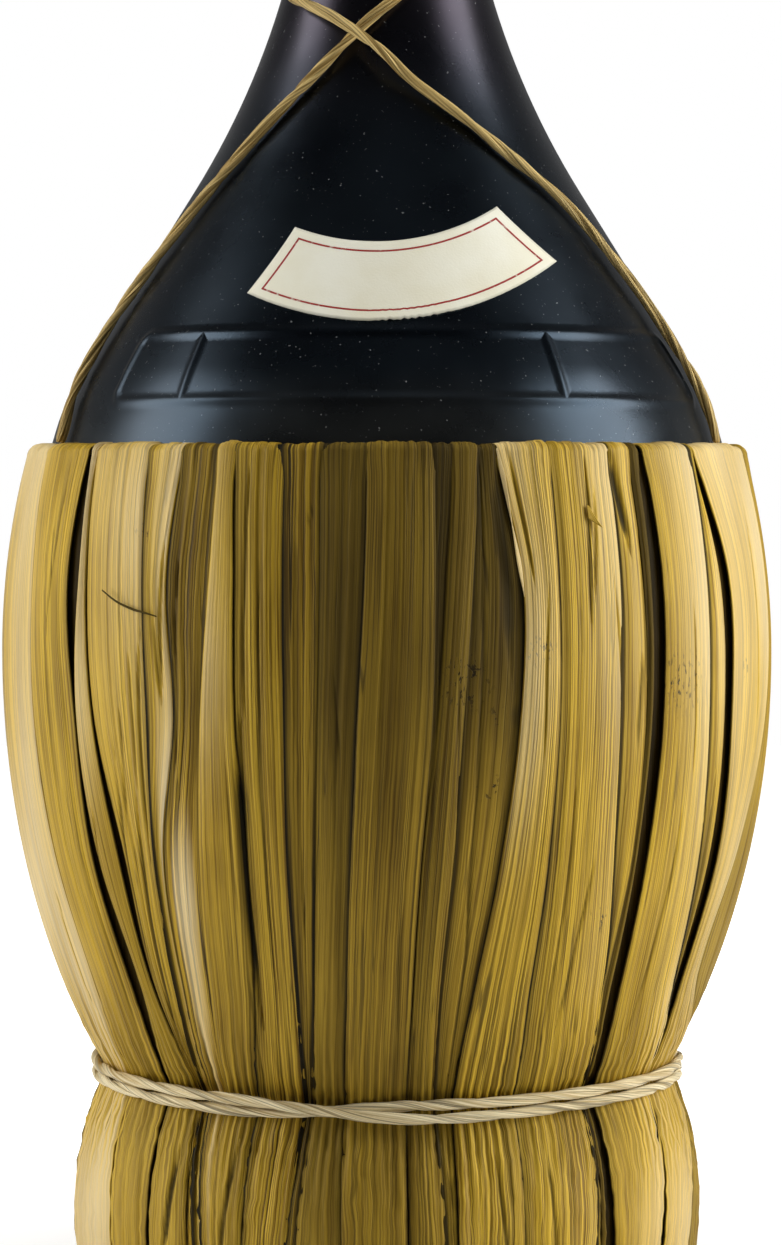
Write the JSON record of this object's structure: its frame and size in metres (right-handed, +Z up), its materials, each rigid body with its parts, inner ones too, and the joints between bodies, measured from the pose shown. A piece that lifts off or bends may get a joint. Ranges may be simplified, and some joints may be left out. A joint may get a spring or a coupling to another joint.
{
  "type": "wine fiasco bottle",
  "caption": "Round-bellied dark glass wine flask with a long neck, a cork and a jacket of dried straw leaves tied at the waist, standing on a straw foot ring.",
  "frame": {"origin": "middle of the foot on the table, under the flask's axis", "axes": "+Z up along the neck; -Y is the front, where the label is; +X to the right"},
  "size_m": [0.1426, 0.1426, 0.34],
  "materials": {
    "glass": "dark green glass, glossy",
    "cork": "natural cork",
    "paper": "aged uncoated paper, glued on",
    "rush_cord": "twisted rush",
    "pale_cord": "twisted raffia",
    "cane": "split cane",
    "straw_bundle": "rolled straw",
    "straw_leaf": "dried rush leaf, ribbed, satin",
    "straw_lining": "dried rush leaf, dark"
  },
  "bodies": {
    "bottle": {"glass_flask": "glass", "label": "paper", "neck_cord": "rush_cord", "waist_cord": "pale_cord", "waist_knot": "pale_cord", "rim_hoop": "cane", "foot_ring": "straw_bundle", "straw_leaf_01": "straw_leaf", "straw_leaf_02": "straw_leaf", "straw_leaf_03": "straw_leaf", "straw_leaf_04": "straw_leaf", "straw_leaf_05": "straw_leaf", "straw_leaf_06": "straw_leaf", "straw_leaf_07": "straw_leaf", "straw_leaf_08": "straw_leaf", "straw_leaf_09": "straw_leaf", "straw_leaf_10": "straw_leaf", "straw_leaf_11": "straw_leaf", "straw_leaf_12": "straw_leaf", "straw_leaf_13": "straw_leaf", "straw_leaf_14": "straw_leaf", "straw_leaf_15": "straw_leaf", "straw_leaf_16": "straw_leaf", "straw_leaf_17": "straw_leaf", "straw_leaf_18": "straw_leaf", "straw_leaf_19": "straw_leaf", "straw_leaf_20": "straw_leaf", "straw_leaf_21": "straw_leaf", "straw_leaf_22": "straw_leaf", "straw_leaf_23": "straw_leaf", "straw_leaf_24": "straw_leaf", "straw_leaf_25": "straw_leaf", "straw_leaf_26": "straw_leaf", "straw_leaf_27": "straw_leaf", "straw_leaf_28": "straw_leaf", "straw_leaf_29": "straw_leaf", "straw_leaf_30": "straw_leaf", "straw_leaf_31": "straw_leaf", "straw_leaf_32": "straw_leaf", "straw_leaf_33": "straw_leaf", "straw_leaf_34": "straw_leaf", "straw_leaf_35": "straw_leaf", "straw_leaf_36": "straw_leaf", "straw_leaf_37": "straw_leaf", "straw_leaf_38": "straw_leaf", "straw_leaf_39": "straw_leaf", "straw_leaf_40": "straw_leaf", "lining_strip_01": "straw_lining", "lining_strip_02": "straw_lining", "lining_strip_03": "straw_lining", "lining_strip_04": "straw_lining", "lining_strip_05": "straw_lining", "lining_strip_06": "straw_lining", "lining_strip_07": "straw_lining", "lining_strip_08": "straw_lining", "lining_strip_09": "straw_lining", "lining_strip_10": "straw_lining"},
    "stopper": {"cork": "cork"}
  },
  "joints": [
    {"name": "cork_pull", "type": "slide", "parent": "bottle", "child": "stopper", "axis": [0, 0, 1], "range_m": [0, 0.052]}
  ]
}
